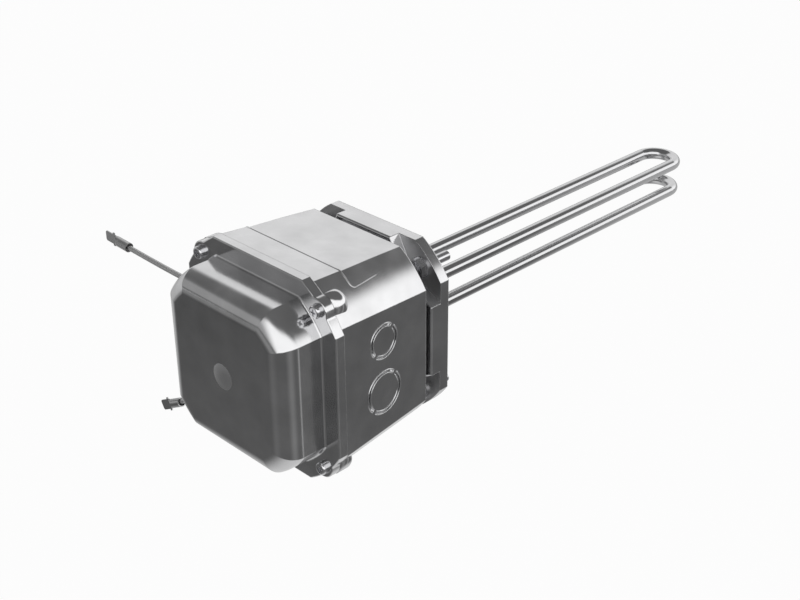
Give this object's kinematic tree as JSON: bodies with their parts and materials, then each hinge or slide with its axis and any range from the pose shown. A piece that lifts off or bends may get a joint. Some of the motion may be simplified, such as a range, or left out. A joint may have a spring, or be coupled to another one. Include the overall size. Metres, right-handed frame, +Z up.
{
  "type": "jacket water heating element",
  "caption": "Flanged immersion heater: square cast terminal box with a domed cover, a square flange with corner bolts, hairpin tubes and wire leads with blade terminals.",
  "frame": {"origin": "centre of the flange's mounting face, which lies against the engine", "axes": "+Y along the hairpin tubes into the water jacket, +Z up, +X to the right seen from the domed cover"},
  "size_m": [0.3618, 0.5623, 0.2487],
  "materials": {
    "cover_casting": "smooth cast, satin",
    "box_casting": "smooth cast, satin",
    "flange_steel": "machined",
    "tube_sheath": "drawn, polished",
    "bolt_steel": "plated",
    "zinc_screws": "plated",
    "pin_steel": "bright",
    "brass_fittings": "machined",
    "tinned_copper": "tin plated",
    "insulator_ceramic": "matte",
    "gasket_rubber": "matte",
    "bushing_rubber": "matte",
    "lead_sleeve": "satin sleeve"
  },
  "bodies": {
    "root": {"front_cover": "cover_casting", "cover_gasket": "gasket_rubber", "cover_screws": "zinc_screws", "cover_screw_washers": "zinc_screws", "terminal_box": "box_casting", "lead_bushing": "bushing_rubber", "earth_screw": "brass_fittings", "box_gasket": "gasket_rubber", "box_screws": "zinc_screws", "element_flange": "flange_steel", "mounting_bolts": "bolt_steel", "mounting_bolt_washers": "bolt_steel", "upper_hairpin": "tube_sheath", "lower_hairpin": "tube_sheath", "terminal_pins": "pin_steel", "pin_insulators": "insulator_ceramic", "pin_base_nuts": "brass_fittings", "pin_top_nuts": "brass_fittings", "pin_washers": "brass_fittings", "jumper_bar": "brass_fittings", "upper_ring_terminal": "tinned_copper", "lower_ring_terminal": "tinned_copper", "upper_lead_tail": "lead_sleeve", "lower_lead_tail": "lead_sleeve", "upper_lead": "lead_sleeve", "lower_lead": "lead_sleeve", "upper_blade_terminal": "tinned_copper", "lower_blade_terminal": "tinned_copper"}
  },
  "joints": []
}
